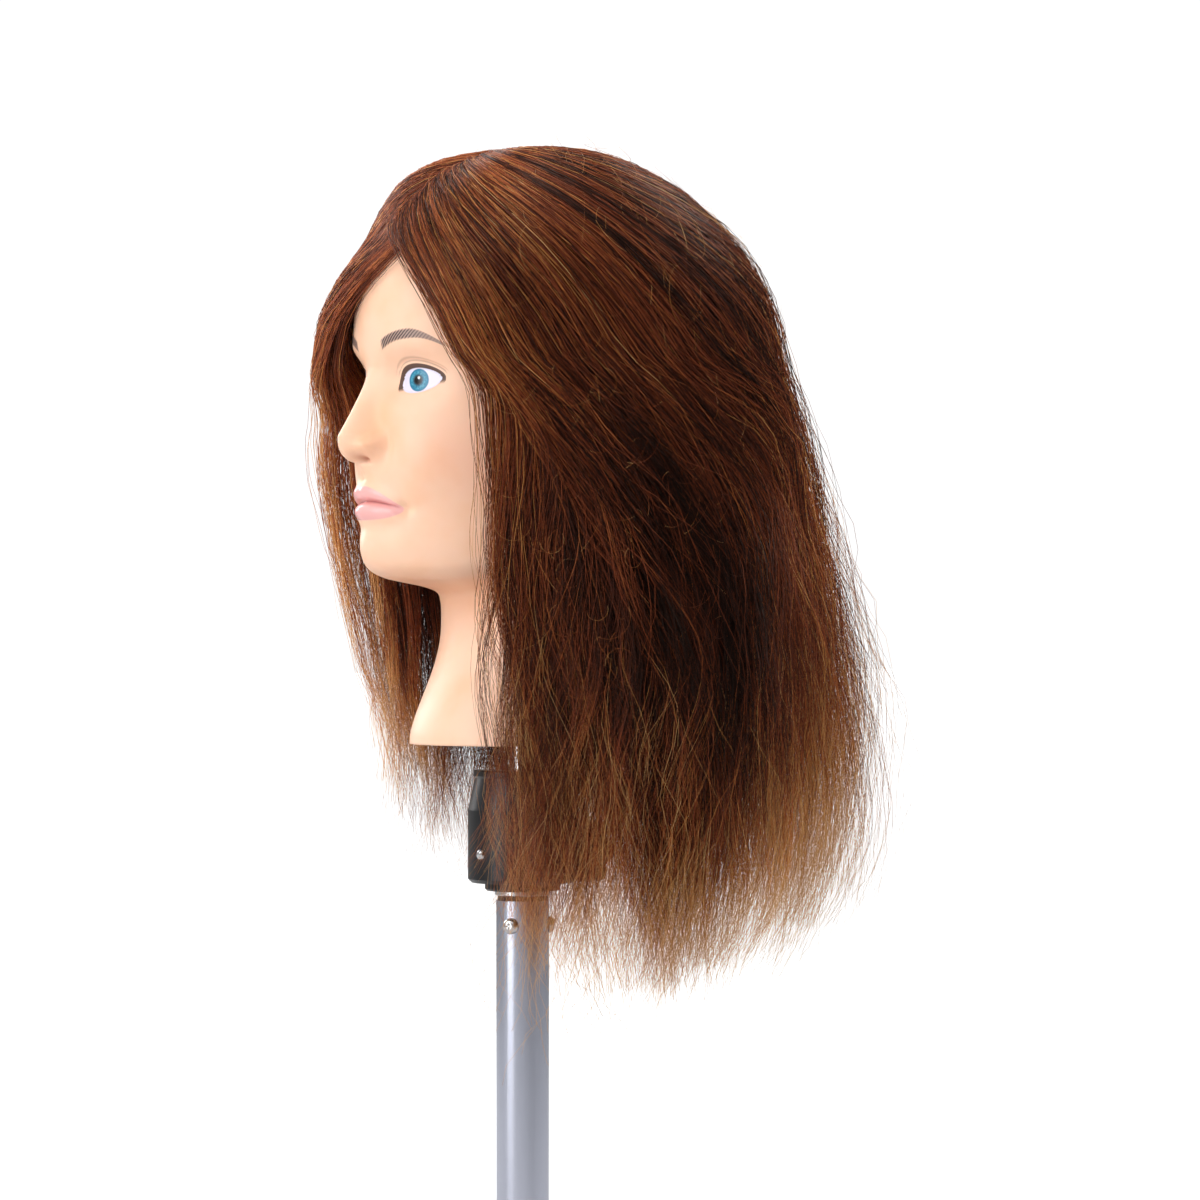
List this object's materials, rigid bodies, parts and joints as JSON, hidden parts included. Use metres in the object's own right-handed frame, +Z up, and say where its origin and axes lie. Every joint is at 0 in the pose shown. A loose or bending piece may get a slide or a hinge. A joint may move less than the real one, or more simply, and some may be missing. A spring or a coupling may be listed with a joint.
{
  "type": "hairdressing training head on tilting holder",
  "caption": "Vinyl practice head with long brown hair, pushed on to a turning mandrel in a tilting clamp holder on a short mast.",
  "frame": {"origin": "centre of the mast's lower end", "axes": "+Z up along the mast, -Y the way the face looks, +X the head's own left"},
  "size_m": [0.2268, 0.316, 0.609],
  "materials": {
    "mast_alu": "satin",
    "steel": "polished",
    "black_plastic": "satin",
    "seal_rubber": "matte",
    "collar_metal": "satin",
    "plug_plastic": "matte",
    "knuckle_metal": "satin",
    "bronze": "satin",
    "nylon": "matte",
    "mandrel_plastic": "satin",
    "grip_rubber": "matte",
    "socket_plastic": "matte",
    "skin_vinyl": "satin",
    "hair": "satin"
  },
  "bodies": {
    "stand": {"mast_tube": "mast_alu", "mast_end_plug": "plug_plastic", "mast_plug": "plug_plastic", "mast_screws": "steel", "seal_ring": "seal_rubber", "collar_ring": "collar_metal", "yoke_flange": "black_plastic", "yoke": "black_plastic", "yoke_bolt": "steel", "pivot_stud": "steel", "knob_washer": "steel", "disc_spring": "steel"},
    "clamp_knob": {"clamp_knob": "black_plastic", "knob_insert": "bronze", "knob_cap": "black_plastic"},
    "knuckle": {"tilt_knuckle": "knuckle_metal", "pivot_bush": "bronze", "friction_washers": "nylon", "spindle": "steel", "spindle_pin": "steel", "thrust_washer": "nylon", "retaining_ring": "steel"},
    "mandrel": {"mandrel_cone": "mandrel_plastic", "mandrel_bush": "bronze", "grip_rings": "grip_rubber", "mandrel_cap": "mandrel_plastic"},
    "head": {"neck_socket": "socket_plastic", "base_plate": "socket_plastic", "base_screws": "steel", "head_skin": "skin_vinyl", "hair_crown": "hair", "hair_left": "hair", "hair_right": "hair", "hair_back": "hair"}
  },
  "joints": [
    {"name": "clamp_turn", "type": "hinge", "parent": "stand", "child": "clamp_knob", "pos_m": [0, 0, 0.235], "axis": [-0.2079, 0.9781, 0], "range_deg": [0, 360]},
    {"name": "head_tilt", "type": "hinge", "parent": "stand", "child": "knuckle", "pos_m": [0, 0, 0.235], "axis": [-0.2079, 0.9781, 0], "range_deg": [-25, 25]},
    {"name": "head_turn", "type": "hinge", "parent": "knuckle", "child": "mandrel", "pos_m": [0, 0, 0.3], "axis": [0, 0, 1], "continuous": true},
    {"name": "head_lift", "type": "slide", "parent": "mandrel", "child": "head", "axis": [0, 0, 1], "range_m": [0, 0.1]}
  ]
}
